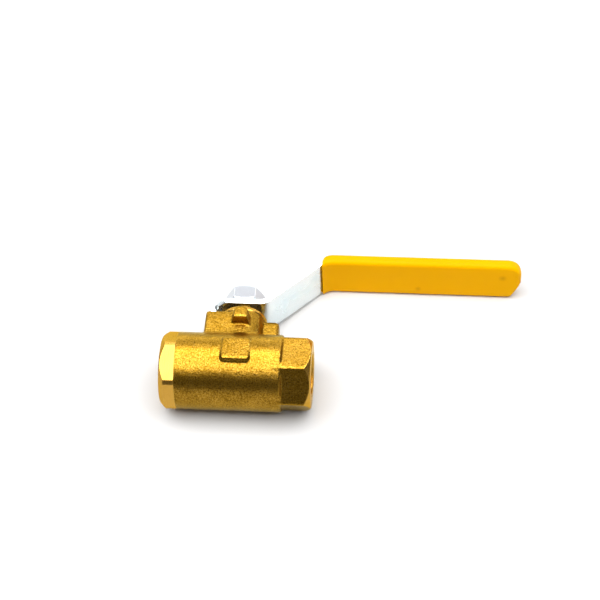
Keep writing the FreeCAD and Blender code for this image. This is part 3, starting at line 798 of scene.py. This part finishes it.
# dipped vinyl: soft unevenness, and the open end rolls back a little on the side of the nut
me = sleeve.data
co = np.empty(len(me.vertices) * 3)
me.vertices.foreach_get("co", co)
P = from_row(co)
nrm = np.empty(len(me.vertices) * 3)
me.vertices.foreach_get("normal", nrm)
nn = nrm.reshape(-1, 3) @ TO_ROW
d = np.zeros(len(P))
for k in range(7):
    q = rng.normal(size=3)
    q /= np.linalg.norm(q)
    d += np.sin(P @ q * rng.uniform(0.12, 0.5) + rng.uniform(0, 6.3)) * 0.006
d -= 0.03
P = P + nn * d[:, None]
back = np.clip(1 - (P[:, 0] - X_SLEEVE) / 3.0, 0, 1)
up = np.clip((P[:, 2] - np.interp(P[:, 0], lx, lz)) / 2.0, 0, 1)
P[:, 0] += 1.25 * back * up ** 2
me.vertices.foreach_set("co", to_row(P).ravel())
me.update()

# ------------------------------------------------------------------ floor, light, camera
KEY = 5.2
zf = float(cad_box[0][2]) if not isinstance(cad_box, dict) else float(cad_box["min"][2])
fm = bpy.data.meshes.new("floor")
S = 3.0
fm.from_pydata([(-S, -S, zf), (S, -S, zf), (S, S, zf), (-S, S, zf)], [], [(0, 1, 2, 3)])
floor = bpy.data.objects.new("floor", fm)
bpy.context.scene.collection.objects.link(floor)
m, nt, b = mat_new("floor_paper")
t = Tree(nt)
v = t.coords()
t.link(t.mix(t.ramp(t.noise(v, 30, 3.0, 0.5), [(0.3, 0.0), (0.8, 1.0)]), (0.66, 0.66, 0.66), (0.645, 0.645, 0.65)), b.inputs["Base Color"])
b.inputs["Roughness"].default_value = 0.65
b.inputs["Specular IOR Level"].default_value = 0.25
floor.data.materials.append(m)


def area(name, loc, target, size, size_y, power, colour=(1, 1, 1)):
    ld = bpy.data.lights.new(name, "AREA")
    ld.shape = "RECTANGLE"
    ld.size = size
    ld.size_y = size_y
    ld.energy = power
    ld.color = colour
    o = bpy.data.objects.new(name, ld)
    bpy.context.scene.collection.objects.link(o)
    o.location = loc
    o.rotation_euler = (Vector(target) - Vector(loc)).to_track_quat("-Z", "Y").to_euler()
    o.visible_camera = False
    return o


area("softbox", (0.02, -0.07, 0.95), (0.02, -0.07, 0.0), 1.7, 0.86, KEY * math.pi * 1.7 * 0.86)


def card(name, loc, target, size, size_y, level):
    """White card: seen in the reflections only."""
    o = area(name, loc, target, size, size_y, level * math.pi * size * size_y)
    o.visible_diffuse = False
    return o


card("card_front", (0.02, -0.56, 0.93), (0.02, 0.0, 0.0), 1.9, 0.12, 3.0)
card("card_back", (0.02, 0.54, 0.93), (0.02, 0.0, 0.0), 1.9, 0.36, 8.0)
card("card_wall_high", (0.05, 1.15, 0.86), (0.05, 0.0, 0.60), 2.6, 1.02, 1.12)
card("card_wall_low", (0.05, 1.15, 0.17), (0.05, 0.0, 0.10), 2.6, 0.34, 3.4)

world = bpy.data.worlds.new("world")
bpy.context.scene.world = world
world.use_nodes = True
wn = world.node_tree
bg = wn.nodes["Background"]
bg.inputs[0].default_value = (1.0, 1.0, 1.0, 1)
bg.inputs[1].default_value = 0.16

cam_data = bpy.data.cameras.new("camera")
cam = bpy.data.objects.new("camera", cam_data)
bpy.context.scene.collection.objects.link(cam)
R = Vector((TO_ROW @ np.array([0.997141, 0.029671, 0.069487])).tolist())
B = Vector((TO_ROW @ np.array([0.068134, -0.750630, -0.657202])).tolist())
R.normalize()
B = (B - R * B.dot(R)).normalized()
U = B.cross(R)
loc = Vector(to_row([[52.757, -396.556, -317.616]])[0].tolist())
cam.matrix_world = Matrix(((R.x, U.x, B.x, loc.x), (R.y, U.y, B.y, loc.y), (R.z, U.z, B.z, loc.z), (0, 0, 0, 1)))
cam_data.sensor_width = 36.0
cam_data.lens = 1700.0 / 600.0 * 36.0
cam_data.clip_start = 0.01
cam_data.clip_end = 20.0
bpy.context.scene.camera = cam
bpy.context.scene.view_settings.view_transform = "Standard"
